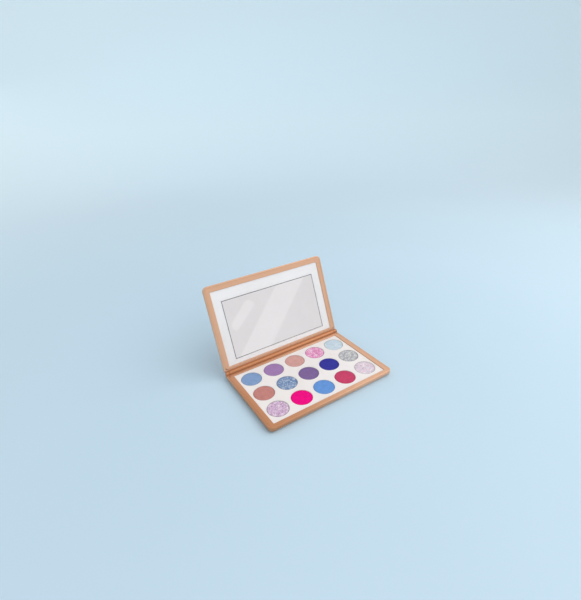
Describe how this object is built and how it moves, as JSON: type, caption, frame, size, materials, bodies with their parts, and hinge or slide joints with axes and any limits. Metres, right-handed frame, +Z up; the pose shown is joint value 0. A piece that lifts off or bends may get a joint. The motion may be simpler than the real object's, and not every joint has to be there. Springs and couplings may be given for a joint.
{
  "type": "eyeshadow palette",
  "caption": "Slim hinged eyeshadow palette standing open, with round shades of pressed powder in a white tray and a mirror in the lid.",
  "frame": {"origin": "middle of the base's flat underside", "axes": "+X along the hinge to the right, +Y from the front edge to the hinge, +Z up"},
  "size_m": [0.176, 0.1561, 0.113],
  "materials": {
    "case_rose_gold": "satin rose-gold metallic lacquer on moulded plastic",
    "panel_white": "satin white moulded plastic",
    "mirror_glass": "silvered glass",
    "adhesive": "double-sided adhesive sheet",
    "magnet_nickel": "nickel plated",
    "pin_steel": "drawn wire",
    "shade_periwinkle": "pressed powder, matte",
    "shade_orchid": "pressed powder, matte",
    "shade_dusty_pink": "pressed powder, matte",
    "shade_glitter_pink": "pressed powder, glitter",
    "shade_ice_blue": "pressed powder, shimmer",
    "shade_terracotta_rose": "pressed powder, matte",
    "shade_steel_blue": "pressed powder, glitter",
    "shade_violet": "pressed powder, matte",
    "shade_indigo": "pressed powder, matte",
    "shade_silver": "pressed powder, glitter",
    "shade_lilac_glitter": "pressed powder, glitter",
    "shade_hot_pink": "pressed powder, matte",
    "shade_cornflower": "pressed powder, matte",
    "shade_raspberry": "pressed powder, matte",
    "shade_pearl": "pressed powder, glitter"
  },
  "bodies": {
    "base": {"base_shell": "case_rose_gold", "base_bezel": "case_rose_gold", "shade_tray": "panel_white", "base_magnet_left": "magnet_nickel", "base_magnet_right": "magnet_nickel", "hinge_pin_left": "pin_steel", "hinge_pin_right": "pin_steel", "powder_a1": "shade_periwinkle", "powder_a2": "shade_orchid", "powder_a3": "shade_dusty_pink", "powder_a4": "shade_glitter_pink", "powder_a5": "shade_ice_blue", "powder_b1": "shade_terracotta_rose", "powder_b2": "shade_steel_blue", "powder_b3": "shade_violet", "powder_b4": "shade_indigo", "powder_b5": "shade_silver", "powder_c1": "shade_lilac_glitter", "powder_c2": "shade_hot_pink", "powder_c3": "shade_cornflower", "powder_c4": "shade_raspberry", "powder_c5": "shade_pearl"},
    "lid": {"lid_shell": "case_rose_gold", "lid_bezel": "case_rose_gold", "lid_liner": "panel_white", "mirror": "mirror_glass", "mirror_tape": "adhesive", "lid_magnet_left": "magnet_nickel", "lid_magnet_right": "magnet_nickel"}
  },
  "joints": [
    {"name": "lid_hinge", "type": "hinge", "parent": "base", "child": "lid", "pos_m": [0, 0.0549, 0.00715], "axis": [-1, 0, 0], "range_deg": [-110, 0]}
  ]
}
